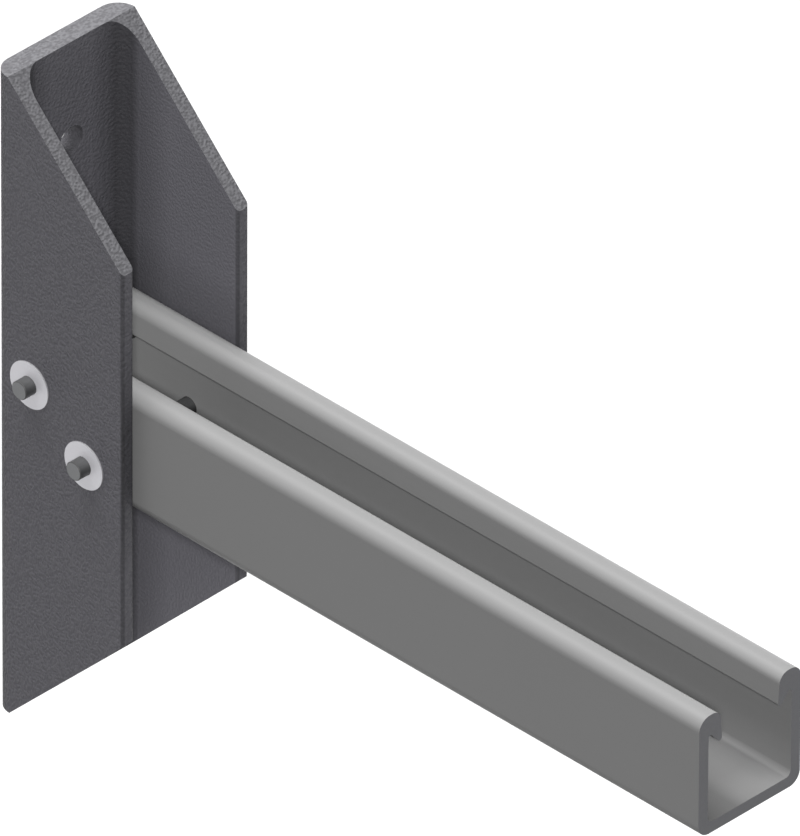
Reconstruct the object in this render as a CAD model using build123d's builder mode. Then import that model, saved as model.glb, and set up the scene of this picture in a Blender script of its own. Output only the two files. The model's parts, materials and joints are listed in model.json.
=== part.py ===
from build123d import *
import os
from math import radians, tan

# A cantilever strut arm: a short length of slotted channel, held at its back end between the two
# flanges of an upright channel bracket by two cross pins. The bracket is bolted flat to a wall.
# X runs out from the wall, Y to the right of someone who faces the wall, and Z up. The origin is
# on the bracket's back face, at the middle of its width and of its height.

# The arm, a moulded channel with its slot on top
arm_reach = 281.4  # from the wall to the free end
arm_width = 41.3
arm_height = 41.3
arm_wall = 3.8
arm_corner_radius = 4.3
arm_inner_radius = 2.0

# The two solid lips beside the slot, which hang into the channel and slope down to their tips
lip_top_width = 8.55  # from the side of the arm to the slot, before the edges are rounded
lip_tip_width = 9.45  # the same at the tips, where the slot is narrowest
lip_tip_depth = 12.6  # below the top of the arm, before the tip is rounded
lip_root_depth = 5.8  # where the slope meets the wall of the arm
lip_top_radius = 3.5
lip_tip_radius = 0.9
lip_root_radius = 0.75

# The bracket, with flanges cut back at both ends to the inner face of its web
bracket_height = 223.3
bracket_depth = 53.6  # from the wall to the front edges of the flanges
web_thickness = 6.8
flange_thickness = 4.8
back_corner_radius = 6.8
inside_corner_radius = 7.2
front_edge_radius = 1.3
end_cut_angle = 45
wall_hole_diameter = 9.5
wall_hole_inset = 34.3  # from each end of the bracket to the centre of its hole
arm_clearance = 0.25  # between the arm and the inside of the bracket

# The two cross pins, one above and behind the other, and the thin washer on each end of each pin
pin_diameter = 6.0
pin_hole_clearance = 0.2
pin_overhang = 4.5  # beyond the outer face of each flange
pin_end_chamfer = 0.25
pin_spacing_out = 22.3
pin_spacing_up = 17.3
washer_diameter = 15.5
washer_thickness = 0.4
washer_bore_clearance = 0.1

# Worked out from the sizes above
channel_width = arm_width + 2 * arm_clearance
bracket_width = channel_width + 2 * flange_thickness
bracket_top = bracket_height / 2
wall_hole_spacing = bracket_height - 2 * wall_hole_inset
arm_back = web_thickness + arm_clearance
arm_length = arm_reach - arm_back
arm_top = arm_height / 2
arm_side = arm_width / 2
channel_side = arm_side - arm_wall
channel_floor = arm_wall - arm_top
pin_length = bracket_width + 2 * pin_overhang
pin_hole_radius = (pin_diameter + pin_hole_clearance) / 2
washer_bore_radius = (pin_diameter + washer_bore_clearance) / 2
upper_pin_place = (bracket_depth / 2 - pin_spacing_out / 2, pin_spacing_up / 2)
lower_pin_place = (bracket_depth / 2 + pin_spacing_out / 2, -pin_spacing_up / 2)

os.makedirs("parts", exist_ok=True)

# Both flanges and both walls of the arm are drilled in line for the pins
with BuildSketch(Plane.XZ) as pin_holes:
    with Locations(upper_pin_place, lower_pin_place):
        Circle(pin_hole_radius)

# Wall bracket: one channel section, as long as the bracket is high
with BuildPart() as wall_bracket:
    with BuildSketch(Plane.XY.offset(-bracket_top)) as bracket_section:
        with Locations((bracket_depth / 2, 0)):
            Rectangle(bracket_depth, bracket_width)
        with Locations(((web_thickness + bracket_depth) / 2, 0)):
            Rectangle(bracket_depth - web_thickness, channel_width, mode=Mode.SUBTRACT)
        fillet(bracket_section.vertices().group_by(Axis.X)[1], inside_corner_radius)
        fillet(bracket_section.vertices().group_by(Axis.X)[-1], front_edge_radius)
        fillet(bracket_section.vertices().group_by(Axis.X)[0], back_corner_radius)
    extrude(amount=bracket_height)
    # The slanting ends of the flanges start at the inner face of the web
    with BuildSketch(Plane.XZ) as end_cuts:
        with BuildLine():
            cut_drop = (bracket_depth - web_thickness) * tan(radians(end_cut_angle))
            Polyline(
                (web_thickness, bracket_top),
                (bracket_depth, bracket_top),
                (bracket_depth, bracket_top - cut_drop),
                close=True,
            )
        make_face()
        mirror(about=Plane.XZ)
    extrude(amount=bracket_width / 2, both=True, mode=Mode.SUBTRACT)
    with Locations(Plane.YZ.offset(web_thickness)):
        with GridLocations(0, wall_hole_spacing, 1, 2):
            Hole(wall_hole_diameter / 2, depth=web_thickness)
    extrude(pin_holes.sketch, amount=bracket_width, both=True, mode=Mode.SUBTRACT)
wall_bracket.part.label = "wall_bracket"
export_step(wall_bracket.part, "parts/wall_bracket.step")

# Arm: half of its section is drawn from the middle of the floor round to the middle of the floor
with BuildPart() as strut_arm:
    with BuildSketch(Plane.YZ.offset(arm_back)) as arm_section:
        with BuildLine():
            FilletPolyline(
                (0, -arm_top),
                (arm_side, -arm_top),
                (arm_side, arm_top),
                (arm_side - lip_top_width, arm_top),
                (arm_side - lip_tip_width, arm_top - lip_tip_depth),
                (channel_side, arm_top - lip_root_depth),
                (channel_side, channel_floor),
                (0, channel_floor),
                radius=[
                    arm_corner_radius,
                    arm_corner_radius,
                    lip_top_radius,
                    lip_tip_radius,
                    lip_root_radius,
                    arm_inner_radius,
                ],
            )
            mirror(about=Plane.YZ)
        make_face()
    extrude(amount=arm_length)
    # The back end is rounded to nest in the inside corners of the bracket
    with BuildSketch(Plane.XY.offset(-arm_top)) as arm_outline:
        with Locations(((arm_back + arm_reach) / 2, 0)):
            Rectangle(arm_length, arm_width)
        fillet(arm_outline.vertices().group_by(Axis.X)[0], inside_corner_radius - arm_clearance)
    extrude(amount=arm_height, mode=Mode.INTERSECT)
    extrude(pin_holes.sketch, amount=bracket_width, both=True, mode=Mode.SUBTRACT)
strut_arm.part.label = "strut_arm"
export_step(strut_arm.part, "parts/strut_arm.step")

# Cross pins, and a washer on each end against the outer face of the flange
for level, pin_place in (("upper", upper_pin_place), ("lower", lower_pin_place)):
    with BuildPart() as cross_pin:
        with BuildSketch(Plane.XZ):
            with Locations(pin_place):
                Circle(pin_diameter / 2)
        extrude(amount=pin_length / 2, both=True)
        chamfer(cross_pin.edges().filter_by(GeomType.CIRCLE), pin_end_chamfer)
    cross_pin.part.label = level + "_pin"
    export_step(cross_pin.part, "parts/" + level + "_pin.step")

    for side, outward in (("left", 1), ("right", -1)):
        with BuildPart() as washer:
            with BuildSketch(Plane.XZ.offset(outward * bracket_width / 2)):
                with Locations(pin_place):
                    Circle(washer_diameter / 2)
                    Circle(washer_bore_radius, mode=Mode.SUBTRACT)
            extrude(amount=outward * washer_thickness)
        washer.part.label = level + "_" + side + "_washer"
        export_step(washer.part, "parts/" + level + "_" + side + "_washer.step")
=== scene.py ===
import json
from math import cos, pi, radians, sin

import bpy
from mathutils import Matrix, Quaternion, Vector


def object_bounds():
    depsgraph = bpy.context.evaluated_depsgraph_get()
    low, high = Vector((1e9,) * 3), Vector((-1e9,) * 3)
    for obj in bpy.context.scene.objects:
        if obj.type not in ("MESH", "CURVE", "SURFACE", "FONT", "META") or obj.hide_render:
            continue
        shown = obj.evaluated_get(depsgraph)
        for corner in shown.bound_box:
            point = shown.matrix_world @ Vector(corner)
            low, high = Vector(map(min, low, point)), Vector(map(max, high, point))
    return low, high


MM = 0.001  # metres in a millimetre

# The camera, far off with a long lens, so that edges along one axis look parallel
CAMERA_AZIMUTH = 44.779  # degrees, from -Y round towards X
CAMERA_ELEVATION = 34.786
CAMERA_ROLL = 0.264
CAMERA_DISTANCE = 10670.5 * MM
CAMERA_TARGET = (118.477 * MM, 22.227 * MM, 24.257 * MM)
CAMERA_LENS = 1600  # millimetres, like the sensor
SENSOR_WIDTH = 36
FARTHEST_SEEN = 60  # metres

# The light: a broad soft lamp overhead, one in front near the camera, a weak one on the far side and an
# even glow. A level of 1 shows a colour as it is written.
OVERHEAD_FROM = (-0.18, 0, 1)
OVERHEAD_LEVEL = 1.62
OVERHEAD_SPREAD = 42  # degrees, like the other two
FRONT_FROM = (0.600, -0.580, 0.568)
FRONT_LEVEL = 0.86
FRONT_SPREAD = 5
FAR_FROM = (-0.25, 0.90, -0.15)
FAR_LEVEL = 0.35
FAR_SPREAD = 60
GLOW_LEVEL = 0.02
WHITE = (1, 1, 1, 1)

# The floor, some way below the object, which hangs on a wall
FLOOR_DROP = 250 * MM
FLOOR_SIZE = 8  # metres
FLOOR_COLOUR = (0.6, 0.6, 0.6, 1)
FLOOR_BOUNCE_COLOUR = (0.02, 0.02, 0.02, 1)  # for the light that it throws on the object

# Patterns and directions
NOISE_LOW = 0.3  # most of a noise pattern lies between these two
NOISE_HIGH = 0.7
FACES_MOSTLY = 0.5  # how far a surface faces along an axis, from 0 to 1
FACES_SQUARELY = 0.8
FACES_FULLY = 0.9

# Bracket: dark grey with a fine ripple, and speckled where it is sawn
BRACKET_DARK = (0.098, 0.096, 0.108, 1)
BRACKET_LIGHT = (0.110, 0.108, 0.120, 1)
BRACKET_ROUGH_LOW = 0.63  # in the hollows of the ripple
BRACKET_ROUGH_HIGH = 0.51  # and on its crests
BRACKET_SHINE = 0.2
RIPPLE_SIZE = 0.70 * MM
RIPPLE_STRETCH = (1, 0.7, 0.75)  # less than 1 draws the ripple out along that axis
RIPPLE_HEIGHT = 0.19 * MM
RIPPLE_INNER = 0.73  # the share of that height between the flanges
RIPPLE_SIDES = 0.5  # the share of the rest on the sides of the flanges that face each other
BLOTCH_SIZE = 30 * MM
BLOTCH_SHARE = 0.2  # how much the blotches count, beside the ripple
TURN_FROM = 0.1  # the directions along X and Y, multiplied, grow from this to TURN_FULL at a corner
TURN_FULL = 0.4
CORNER_SHADE = 0.50  # painted shade: how light the rounded corners and edges are, beside the faces
CORNER_SHADOW_AT = (6.9 * MM, 15 * MM, 0)  # X and distance from the middle, where the painted shade in the inner corner beside the web is darkest
CORNER_SHADOW_REACH = 7 * MM
CORNER_SHADOW_SHADE = 0.66
WEB_MIDDLE = 3 * MM  # the web's inner surface is further out than this along X
FLANGE_MIDDLE = 23 * MM  # the flanges' inner surfaces are nearer the middle than this
INNER_FROM = 5 * MM  # what faces the middle counts as an inner side from this far off it
INNER_FULL = 20 * MM  # and fully so from here
INNER_DEEP_X = 11 * MM  # painted light and shade: the sides of the flanges that face each other, a little darker near the web, get paler from here
INNER_DEEP_SHADE = 0.9
INNER_PALE_X = 26 * MM
INNER_PALE_SHADE = 1.44
BELOW_FROM = -40 * MM  # painted light makes them paler still below the arm
BELOW_FULL = -60 * MM
BELOW_SHADE = 1.22
FRONT_EDGE_FROM = 48 * MM  # further out than this, what faces along X is a flange's front edge, darkened with painted shade
FRONT_EDGE_SHADE = 0.95
BESIDE_ARM_FROM = 10 * MM  # painted shade beside the arm on those sides and edges fades from this far off its middle
BESIDE_ARM_TO = 40 * MM
BESIDE_ARM_SHADE = 0.45
HOLE_REACH = 6 * MM  # nearer the middle than this, what doesn't face along X is a wall hole's bore, darkened with painted shade
HOLE_SHADE = 0.72
SAWN_DARK = (0.098, 0.097, 0.104, 1)
SAWN_LIGHT = (0.150, 0.149, 0.159, 1)
SAWN_FROM = 111 * MM  # X and the height above or below the middle add up to more at the sawn ends
SLOPE_FACES = 0.75  # the slanting cuts face up or down less than this
LEVEL_FACES = 0.95  # and the level ones more than this
SLOPE_SHADE = 0.76  # painted shade: how light the slanting cuts are, beside the level ones

# Arm: mid grey and smooth, with faint streaks along its length, and grained where it is sawn, with a darker
# bluish tone there that is painted shade
ARM_DARK = (0.201, 0.201, 0.201, 1)
ARM_LIGHT = (0.219, 0.219, 0.219, 1)
ARM_END_DARK = (0.140, 0.141, 0.149, 1)
ARM_END_LIGHT = (0.158, 0.159, 0.169, 1)
ARM_END_GRAIN = 0.9 * MM
ARM_ROUGH_LOW = 0.42
ARM_ROUGH_HIGH = 0.50
ARM_SHINE = 0.2
STREAK_WIDTH = 1.6 * MM
STREAK_STRETCH = (0.02, 1, 1)
STREAK_HEIGHT = 0.009 * MM
ARM_BLOTCH_SIZE = 45 * MM
ARM_BLOTCH_SHARE = 0.5  # how much the blotches count, beside the streaks
ARM_DEEP_X = 15 * MM  # painted light: the arm is paler inside the bracket
ARM_DEEP_SHADE = 1.28
ARM_OPEN_X = 58 * MM
ARM_INNER_SHADE = 1.12  # painted light: its walls are a little paler inside
CHANNEL_FLOOR_BELOW = -10 * MM  # lower than this, what faces up is the channel's floor
CHANNEL_SHADOW_Y = -5 * MM  # painted shade there is darkest from here to the near wall, and painted light makes it pale towards the far wall
CHANNEL_SHADOW_SHADE = 0.48
CHANNEL_LIT_Y = 13 * MM
CHANNEL_LIT_SHADE = 1.15
CHANNEL_DEEP_X = 268 * MM  # and painted shade makes it darker from here inward than at the open end
CHANNEL_DEEP_SHADE = 0.8
CHANNEL_OPEN_X = 278 * MM
GRIME_UNEVEN = 0.08  # how far the blotches change it, up and down
GRIME_BLOTCH_LOW = 0.35  # as they go from this to GRIME_BLOTCH_HIGH
GRIME_BLOTCH_HIGH = 0.65

# Pins, dark on the sides and bare on the cut ends, and pale zinc washers
PIN_DARK = (0.064, 0.065, 0.066, 1)
PIN_LIGHT = (0.094, 0.095, 0.097, 1)
PIN_UNDERSIDE = 0.27  # painted shade: how light the pins are on their lower sides
PIN_UNDER_FACES = 0.1  # which face up less than this
PIN_UPPER_FACES = 1.1  # past 1, so that the painted shade reaches the top a little too
PIN_END_DARK = (0.140, 0.143, 0.147, 1)
PIN_END_LIGHT = (0.176, 0.180, 0.186, 1)
PIN_METAL = 0.15
PIN_ROUGHNESS = 0.42
WASHER_DARK = (0.57, 0.565, 0.595, 1)
WASHER_LIGHT = (0.65, 0.645, 0.675, 1)
# painted shade on the washers' rims
WASHER_RIM_DARK = (0.28, 0.278, 0.29, 1)
WASHER_RIM_LIGHT = (0.36, 0.357, 0.37, 1)
WASHER_METAL = 0.4
WASHER_ROUGHNESS = 0.6
STEEL_UNEVEN = 0.05  # how far the roughness of both strays, up and down
TURNING_SIZE = 0.5 * MM
TURNING_STRETCH = (1, 0.2, 1)
TURNING_HEIGHT = 0.01 * MM
SPECK_SIZE = 0.9 * MM
SPECK_SHARE = 0.5  # how much the specks count, beside the turning marks

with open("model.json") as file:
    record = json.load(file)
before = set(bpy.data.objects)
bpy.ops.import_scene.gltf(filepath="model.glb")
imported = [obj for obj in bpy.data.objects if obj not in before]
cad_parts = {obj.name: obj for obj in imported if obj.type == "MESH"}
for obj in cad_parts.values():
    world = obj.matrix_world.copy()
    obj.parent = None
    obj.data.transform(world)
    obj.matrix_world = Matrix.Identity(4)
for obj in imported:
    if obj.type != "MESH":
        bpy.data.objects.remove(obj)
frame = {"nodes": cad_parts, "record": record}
cad_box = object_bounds()


def new_material(name):
    """An empty material, its node tree and its main shader."""
    material = bpy.data.materials.new(name)
    material.use_nodes = True
    tree = material.node_tree
    return material, tree, tree.nodes["Principled BSDF"]


def noise(tree, place, size, stretch=(1, 1, 1), detail=2):
    """A noise pattern whose grains are about size across, in metres, stretched where stretch is small."""
    mapping = tree.nodes.new("ShaderNodeMapping")
    mapping.inputs["Scale"].default_value = stretch
    tree.links.new(place, mapping.inputs["Vector"])
    texture = tree.nodes.new("ShaderNodeTexNoise")
    texture.inputs["Scale"].default_value = 1 / size
    texture.inputs["Detail"].default_value = detail
    tree.links.new(mapping.outputs["Vector"], texture.inputs["Vector"])
    return texture.outputs["Fac"]


def spread(tree, value, low, high, to_low, to_high):
    """The value, with low..high drawn out to to_low..to_high and held there beyond."""
    mapped = tree.nodes.new("ShaderNodeMapRange")
    mapped.inputs["From Min"].default_value = low
    mapped.inputs["From Max"].default_value = high
    mapped.inputs["To Min"].default_value = to_low
    mapped.inputs["To Max"].default_value = to_high
    tree.links.new(value, mapped.inputs["Value"])
    return mapped.outputs["Result"]


def spread_noise(tree, pattern, to_low, to_high):
    """The noise pattern, drawn out to to_low..to_high."""
    return spread(tree, pattern, NOISE_LOW, NOISE_HIGH, to_low, to_high)


def shade_where(tree, choice, shade):
    """1 where the choice is 0, and the shade where it is 1."""
    return spread(tree, choice, 0, 1, 1, shade)


def blend_values(tree, first, second, share):
    """A mix of two values, share of it from the second."""
    mix = tree.nodes.new("ShaderNodeMix")
    mix.inputs["Factor"].default_value = share
    tree.links.new(first, mix.inputs["A"])
    tree.links.new(second, mix.inputs["B"])
    return mix.outputs["Result"]


def only_where(tree, choice, value):
    """The value where the choice is 1, and 1 where the choice is 0."""
    mix = tree.nodes.new("ShaderNodeMix")
    mix.inputs["A"].default_value = 1
    tree.links.new(choice, mix.inputs["Factor"])
    tree.links.new(value, mix.inputs["B"])
    return mix.outputs["Result"]


def compared(tree, operation, value, limit):
    """1 where the value compares so with the limit, and 0 elsewhere."""
    test = tree.nodes.new("ShaderNodeMath")
    test.operation = operation
    test.inputs[1].default_value = limit
    tree.links.new(value, test.inputs[0])
    return test.outputs["Value"]


def over(tree, value, least):
    """1 where the value is more than least, and 0 elsewhere."""
    return compared(tree, "GREATER_THAN", value, least)


def under(tree, value, most):
    """1 where the value is less than most, and 0 elsewhere."""
    return compared(tree, "LESS_THAN", value, most)


def combined(tree, operation, first, second):
    """The two values put together by the operation."""
    result = tree.nodes.new("ShaderNodeMath")
    result.operation = operation
    tree.links.new(first, result.inputs[0])
    tree.links.new(second, result.inputs[1])
    return result.outputs["Value"]


def product(tree, first, second):
    """The two values multiplied."""
    return combined(tree, "MULTIPLY", first, second)


def larger(tree, first, second):
    """The larger of the two values."""
    return combined(tree, "MAXIMUM", first, second)


def size_of(tree, value):
    """The value without its sign."""
    size = tree.nodes.new("ShaderNodeMath")
    size.operation = "ABSOLUTE"
    tree.links.new(value, size.inputs[0])
    return size.outputs["Value"]


def component(tree, vector, axis):
    """The vector's part along the axis."""
    parts = tree.nodes.new("ShaderNodeSeparateXYZ")
    tree.links.new(vector, parts.inputs["Vector"])
    return parts.outputs[axis]


def object_place(tree):
    """The place on the object, in metres."""
    return tree.nodes.new("ShaderNodeTexCoord").outputs["Object"]


def off_middle(tree, place, axis):
    """How far the place is from the middle along the axis, in metres."""
    return size_of(tree, component(tree, place, axis))


def surface_direction(tree, axis):
    """How far the surface faces along the axis, from -1 to 1."""
    return component(tree, tree.nodes.new("ShaderNodeTexCoord").outputs["Normal"], axis)


def either_way(tree, axis):
    """How far the surface faces along or against the axis, from 0 to 1."""
    return size_of(tree, surface_direction(tree, axis))


def facing(tree, axis, least):
    """1 where the surface faces more than least along or against the axis, and 0 elsewhere."""
    return over(tree, either_way(tree, axis), least)


def colour_between(tree, value, dark, light):
    """A colour from dark to light as the value goes from 0 to 1."""
    ramp = tree.nodes.new("ShaderNodeValToRGB")
    ramp.color_ramp.elements[0].color = dark
    ramp.color_ramp.elements[1].color = light
    tree.links.new(value, ramp.inputs["Fac"])
    return ramp.outputs["Color"]


def shaded(tree, colour, shade):
    """The colour, times the shade."""
    scaled = tree.nodes.new("ShaderNodeVectorMath")
    scaled.operation = "SCALE"
    tree.links.new(colour, scaled.inputs["Vector"])
    tree.links.new(shade, scaled.inputs["Scale"])
    return scaled.outputs["Vector"]


def one_or_other(tree, choice, first, second):
    """The first colour where the choice is 0, and the second where it is 1."""
    mix = tree.nodes.new("ShaderNodeMix")
    mix.data_type = "RGBA"
    tree.links.new(choice, mix.inputs["Factor"])
    tree.links.new(first, mix.inputs["A"])
    tree.links.new(second, mix.inputs["B"])
    return mix.outputs["Result"]


def relief(tree, shader, value, height):
    """Raises the surface by up to height, in metres, where the value is 1."""
    bump = tree.nodes.new("ShaderNodeBump")
    bump.inputs["Distance"].default_value = height
    tree.links.new(value, bump.inputs["Height"])
    tree.links.new(bump.outputs["Normal"], shader.inputs["Normal"])
    return bump


def corners(tree):
    """0 on faces along X or Y, and towards 1 where the surface turns from one to the other."""
    turn = product(tree, surface_direction(tree, "X"), surface_direction(tree, "Y"))
    return spread(tree, size_of(tree, turn), TURN_FROM, TURN_FULL, 0, 1)


def sawn_ends(tree, place):
    """1 at the bracket's sawn ends, and 0 elsewhere, also in the bores."""
    total = combined(tree, "ADD", component(tree, place, "X"), off_middle(tree, place, "Z"))
    return product(tree, over(tree, total, SAWN_FROM), facing(tree, "Z", FACES_MOSTLY))


def front_edges(tree, place):
    """1 on the flanges' front edges, and 0 elsewhere."""
    at_front = over(tree, component(tree, place, "X"), FRONT_EDGE_FROM)
    return product(tree, at_front, facing(tree, "X", FACES_MOSTLY))


def wall_holes(tree, place):
    """1 in the bores of the wall holes, and 0 elsewhere on the moulded surface."""
    across = under(tree, either_way(tree, "X"), FACES_MOSTLY)
    return product(tree, across, under(tree, off_middle(tree, place, "Y"), HOLE_REACH))


def inner_sides(tree, place):
    """Near 1 on the inner sides of flanges and walls, and 0 on what faces outward or is near the middle."""
    outward = product(tree, component(tree, place, "Y"), surface_direction(tree, "Y"))
    return spread(tree, outward, -INNER_FULL, -INNER_FROM, 1, 0)


def between_flanges(tree, place):
    """1 on the web's and the flanges' inner surfaces, and 0 on the outer ones."""
    inward = over(tree, component(tree, place, "X"), WEB_MIDDLE)
    return product(tree, inward, under(tree, off_middle(tree, place, "Y"), FLANGE_MIDDLE))


def level_with_arm(tree, place):
    """1 at the height of the arm's middle, towards 0 well above and below the arm."""
    return spread(tree, off_middle(tree, place, "Z"), BESIDE_ARM_FROM, BESIDE_ARM_TO, 1, 0)


def from_corner_shadow(tree, place):
    """How far the place is from where the painted shade in the corner is darkest on its side, in metres,
    seen along Z.
    """
    seen = tree.nodes.new("ShaderNodeCombineXYZ")
    tree.links.new(component(tree, place, "X"), seen.inputs["X"])
    tree.links.new(off_middle(tree, place, "Y"), seen.inputs["Y"])
    gap = tree.nodes.new("ShaderNodeVectorMath")
    gap.operation = "DISTANCE"
    gap.inputs[1].default_value = CORNER_SHADOW_AT
    tree.links.new(seen.outputs["Vector"], gap.inputs[0])
    return gap.outputs["Value"]


def inner_painted_light_and_shade(tree, place):
    """How light the sides that face each other are, in painted light and shade: more so away from the web
    and below the arm.
    """
    depth = component(tree, place, "X")
    pale = spread(tree, depth, INNER_DEEP_X, INNER_PALE_X, INNER_DEEP_SHADE, INNER_PALE_SHADE)
    below = spread(tree, component(tree, place, "Z"), BELOW_FULL, BELOW_FROM, BELOW_SHADE, 1)
    return product(tree, pale, below)


def bracket_painted_light_and_shade(tree, place):
    """How light the moulded surface is, in painted light and shade: less so at corners, edges, holes and the
    arm, more inside.
    """
    inner = inner_sides(tree, place)
    front = front_edges(tree, place)
    beside_arm = product(tree, larger(tree, inner, front), level_with_arm(tree, place))
    shade = shade_where(tree, beside_arm, BESIDE_ARM_SHADE)
    for part in (
        shade_where(tree, corners(tree), CORNER_SHADE),
        spread(tree, from_corner_shadow(tree, place), 0, CORNER_SHADOW_REACH, CORNER_SHADOW_SHADE, 1),
        only_where(tree, inner, inner_painted_light_and_shade(tree, place)),
        shade_where(tree, front, FRONT_EDGE_SHADE),
        shade_where(tree, wall_holes(tree, place), HOLE_SHADE),
    ):
        shade = product(tree, shade, part)
    return shade


def bracket_relief(tree, shader, place, crests):
    """The ripple as relief, lower between the flanges and lower still on their inner sides."""
    bump = relief(tree, shader, crests, RIPPLE_HEIGHT)
    between = shade_where(tree, between_flanges(tree, place), RIPPLE_INNER)
    sides = shade_where(tree, inner_sides(tree, place), RIPPLE_SIDES)
    tree.links.new(product(tree, between, sides), bump.inputs["Strength"])


def bracket_material():
    """Dark grey moulded fibreglass with a fine ripple, paler on its crests, painted light and shade on the
    moulded surface, and speckled sawn ends.
    """
    material, tree, shader = new_material("bracket_fibreglass")
    place = object_place(tree)
    ripple = noise(tree, place, RIPPLE_SIZE, RIPPLE_STRETCH, detail=0)
    crests = spread_noise(tree, ripple, 0, 1)
    blotches = noise(tree, place, BLOTCH_SIZE, detail=4)
    shades = blend_values(tree, crests, blotches, BLOTCH_SHARE)
    moulded = colour_between(tree, shades, BRACKET_DARK, BRACKET_LIGHT)
    moulded_painted_light_and_shade = shaded(tree, moulded, bracket_painted_light_and_shade(tree, place))
    sawn = colour_between(tree, crests, SAWN_DARK, SAWN_LIGHT)
    slope = spread(tree, either_way(tree, "Z"), SLOPE_FACES, LEVEL_FACES, SLOPE_SHADE, 1)
    colour = one_or_other(tree, sawn_ends(tree, place), moulded_painted_light_and_shade, shaded(tree, sawn, slope))
    tree.links.new(colour, shader.inputs["Base Color"])
    rough = spread_noise(tree, ripple, BRACKET_ROUGH_LOW, BRACKET_ROUGH_HIGH)
    tree.links.new(rough, shader.inputs["Roughness"])
    shader.inputs["Specular IOR Level"].default_value = BRACKET_SHINE
    bracket_relief(tree, shader, place, crests)
    return material


def channel_floor(tree, place):
    """1 where the surface faces straight up low in the arm, and 0 elsewhere."""
    upward = spread(tree, surface_direction(tree, "Z"), FACES_SQUARELY, 1, 0, 1)
    return product(tree, upward, under(tree, component(tree, place, "Z"), CHANNEL_FLOOR_BELOW))


def channel_grime_and_shade(tree, place, blotches):
    """How light the channel's floor is, darker along the near wall and deep inside in painted shade, with
    uneven blotches, and 1 on the rest of the arm.
    """
    side = component(tree, place, "Y")
    across = spread(tree, side, CHANNEL_SHADOW_Y, CHANNEL_LIT_Y, CHANNEL_SHADOW_SHADE, CHANNEL_LIT_SHADE)
    uneven = spread(tree, blotches, GRIME_BLOTCH_LOW, GRIME_BLOTCH_HIGH, 1 + GRIME_UNEVEN, 1 - GRIME_UNEVEN)
    depth = component(tree, place, "X")
    deep = spread(tree, depth, CHANNEL_DEEP_X, CHANNEL_OPEN_X, CHANNEL_DEEP_SHADE, 1)
    shade = product(tree, across, product(tree, uneven, deep))
    return only_where(tree, channel_floor(tree, place), shade)


def arm_painted_light(tree, place):
    """How light the arm is, in painted light: more so inside the bracket and on the inner sides of its
    walls.
    """
    deep = spread(tree, component(tree, place, "X"), ARM_DEEP_X, ARM_OPEN_X, ARM_DEEP_SHADE, 1)
    return product(tree, deep, shade_where(tree, inner_sides(tree, place), ARM_INNER_SHADE))


def arm_material():
    """Mid grey pultruded fibreglass, smooth, with faint streaks along X and sawn ends, painted light inside
    the bracket and painted shade on the channel's floor.
    """
    material, tree, shader = new_material("arm_fibreglass")
    place = object_place(tree)
    streaks = noise(tree, place, STREAK_WIDTH, STREAK_STRETCH, detail=3)
    blotches = noise(tree, place, ARM_BLOTCH_SIZE, detail=3)
    shades = blend_values(tree, streaks, blotches, ARM_BLOTCH_SHARE)
    moulded = colour_between(tree, shades, ARM_DARK, ARM_LIGHT)
    moulded_painted_light_and_shade = shaded(tree, moulded, arm_painted_light(tree, place))
    moulded_painted_light_and_shade = shaded(tree, moulded_painted_light_and_shade, channel_grime_and_shade(tree, place, blotches))
    grain = noise(tree, place, ARM_END_GRAIN, detail=1)
    sawn = colour_between(tree, grain, ARM_END_DARK, ARM_END_LIGHT)
    colour = one_or_other(tree, facing(tree, "X", FACES_FULLY), moulded_painted_light_and_shade, sawn)
    tree.links.new(colour, shader.inputs["Base Color"])
    tree.links.new(spread_noise(tree, streaks, ARM_ROUGH_LOW, ARM_ROUGH_HIGH), shader.inputs["Roughness"])
    shader.inputs["Specular IOR Level"].default_value = ARM_SHINE
    relief(tree, shader, streaks, STREAK_HEIGHT)
    return material


def steel_patterns(tree):
    """The turning marks and specks of plain steel, and the two together."""
    place = object_place(tree)
    turning = noise(tree, place, TURNING_SIZE, TURNING_STRETCH)
    specks = noise(tree, place, SPECK_SIZE, detail=3)
    return turning, specks, blend_values(tree, turning, specks, SPECK_SHARE)


def finish_steel(tree, shader, metal, roughness, turning, specks):
    """Metal, uneven roughness and fine turning marks."""
    shader.inputs["Metallic"].default_value = metal
    rough = spread_noise(tree, specks, roughness - STEEL_UNEVEN, roughness + STEEL_UNEVEN)
    tree.links.new(rough, shader.inputs["Roughness"])
    relief(tree, shader, turning, TURNING_HEIGHT)


def pin_material():
    """Dark steel bar with bare cut ends, and painted shade on its lower sides."""
    material, tree, shader = new_material("pin_steel")
    turning, specks, shades = steel_patterns(tree)
    side = colour_between(tree, shades, PIN_DARK, PIN_LIGHT)
    upward = surface_direction(tree, "Z")
    shade = spread(tree, upward, PIN_UNDER_FACES, PIN_UPPER_FACES, PIN_UNDERSIDE, 1)
    end = colour_between(tree, shades, PIN_END_DARK, PIN_END_LIGHT)
    colour = one_or_other(tree, facing(tree, "Y", FACES_SQUARELY), shaded(tree, side, shade), end)
    tree.links.new(colour, shader.inputs["Base Color"])
    finish_steel(tree, shader, PIN_METAL, PIN_ROUGHNESS, turning, specks)
    return material


def washer_material():
    """Pale dull zinc, with painted shade making the rim greyer."""
    material, tree, shader = new_material("washer_steel")
    turning, specks, shades = steel_patterns(tree)
    flat = colour_between(tree, shades, WASHER_DARK, WASHER_LIGHT)
    rim = colour_between(tree, shades, WASHER_RIM_DARK, WASHER_RIM_LIGHT)
    colour = one_or_other(tree, facing(tree, "Y", FACES_SQUARELY), rim, flat)
    tree.links.new(colour, shader.inputs["Base Color"])
    finish_steel(tree, shader, WASHER_METAL, WASHER_ROUGHNESS, turning, specks)
    return material


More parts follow.
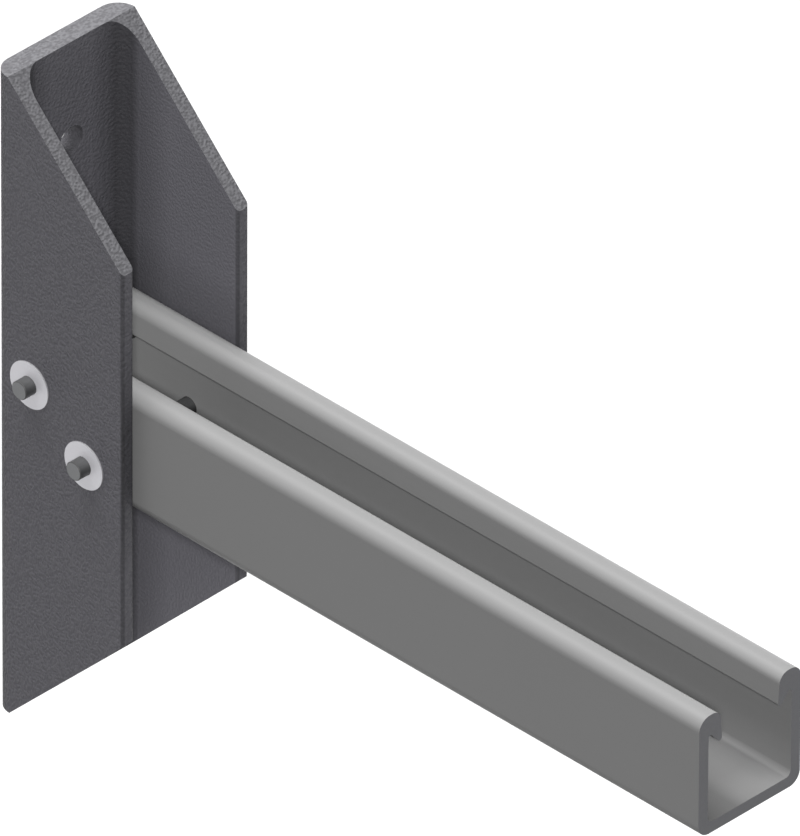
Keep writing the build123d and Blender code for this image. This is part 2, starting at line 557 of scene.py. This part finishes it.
def dress(record):
    """Gives each node of the record the material of its slot."""
    finishes = {
        "bracket_fibreglass": bracket_material(),
        "arm_fibreglass": arm_material(),
        "pin_steel": pin_material(),
        "washer_steel": washer_material(),
    }
    for subpart in record["subparts"]:
        for slot in frame["nodes"][subpart["node"]].material_slots:
            slot.material = finishes[subpart["material_slot"]]


def seen_directly(tree):
    """1 for rays from the camera, in a mirror or through glass, and 0 for light that falls on the object."""
    ray = tree.nodes.new("ShaderNodeLightPath").outputs
    mirrored = larger(tree, ray["Is Glossy Ray"], ray["Is Transmission Ray"])
    return larger(tree, ray["Is Camera Ray"], mirrored)


def make_glow():
    """An even glow all round, which itself looks white."""
    world = bpy.data.worlds.new("studio")
    world.use_nodes = True
    tree = world.node_tree
    background = tree.nodes["Background"]
    background.inputs["Color"].default_value = WHITE
    strength = spread(tree, seen_directly(tree), 0, 1, GLOW_LEVEL, 1)
    tree.links.new(strength, background.inputs["Strength"])
    bpy.context.scene.world = world


def make_lamp(name, towards, level, angle):
    """A distant soft lamp in the direction towards, which lights a surface that faces it to level."""
    light = bpy.data.lights.new(name, "SUN")
    light.energy = level * pi
    light.angle = radians(angle)
    lamp = bpy.data.objects.new(name, light)
    lamp.rotation_mode = "QUATERNION"
    lamp.rotation_quaternion = Vector(towards).to_track_quat("Z", "Y")
    bpy.context.scene.collection.objects.link(lamp)


def floor_material():
    """Plain and pale, throwing little light back on the object, and see-through from below."""
    material, tree, shader = new_material("floor")
    tree.nodes.remove(shader)
    mix = tree.nodes.new("ShaderNodeMix")
    mix.data_type = "RGBA"
    mix.inputs["A"].default_value = FLOOR_BOUNCE_COLOUR
    mix.inputs["B"].default_value = FLOOR_COLOUR
    tree.links.new(seen_directly(tree), mix.inputs["Factor"])
    diffuse = tree.nodes.new("ShaderNodeBsdfDiffuse")
    tree.links.new(mix.outputs["Result"], diffuse.inputs["Color"])
    clear = tree.nodes.new("ShaderNodeBsdfTransparent")
    below = tree.nodes.new("ShaderNodeNewGeometry").outputs["Backfacing"]
    both = tree.nodes.new("ShaderNodeMixShader")  # its two shader sockets share one name
    tree.links.new(below, both.inputs["Fac"])
    tree.links.new(diffuse.outputs["BSDF"], both.inputs[1])
    tree.links.new(clear.outputs["BSDF"], both.inputs[2])
    tree.links.new(both.outputs["Shader"], tree.nodes["Material Output"].inputs["Surface"])
    return material


def make_floor():
    """A plain pale floor, white where the lamps light it."""
    half = FLOOR_SIZE / 2
    height = cad_box[0].z - FLOOR_DROP
    outline = [(-half, -half, height), (half, -half, height), (half, half, height), (-half, half, height)]
    mesh = bpy.data.meshes.new("floor")
    mesh.from_pydata(outline, [], [(0, 1, 2, 3)])
    mesh.materials.append(floor_material())
    floor = bpy.data.objects.new("floor", mesh)
    bpy.context.scene.collection.objects.link(floor)


def make_camera():
    """The camera, turned to the target from its azimuth and elevation."""
    azimuth = radians(CAMERA_AZIMUTH)
    elevation = radians(CAMERA_ELEVATION)
    back = Vector((sin(azimuth) * cos(elevation), -cos(azimuth) * cos(elevation), sin(elevation)))
    lens = bpy.data.cameras.new("camera")
    lens.lens = CAMERA_LENS
    lens.sensor_width = SENSOR_WIDTH
    lens.clip_end = FARTHEST_SEEN
    camera = bpy.data.objects.new("camera", lens)
    camera.location = Vector(CAMERA_TARGET) + back * CAMERA_DISTANCE
    camera.rotation_mode = "QUATERNION"
    level = back.to_track_quat("Z", "Y")
    camera.rotation_quaternion = level @ Quaternion((0, 0, 1), radians(CAMERA_ROLL))
    bpy.context.scene.collection.objects.link(camera)
    bpy.context.scene.camera = camera


dress(frame["record"])
make_glow()
make_lamp("overhead", OVERHEAD_FROM, OVERHEAD_LEVEL, OVERHEAD_SPREAD)
make_lamp("front", FRONT_FROM, FRONT_LEVEL, FRONT_SPREAD)
make_lamp("far", FAR_FROM, FAR_LEVEL, FAR_SPREAD)
make_floor()
make_camera()
bpy.context.scene.view_settings.view_transform = "Standard"
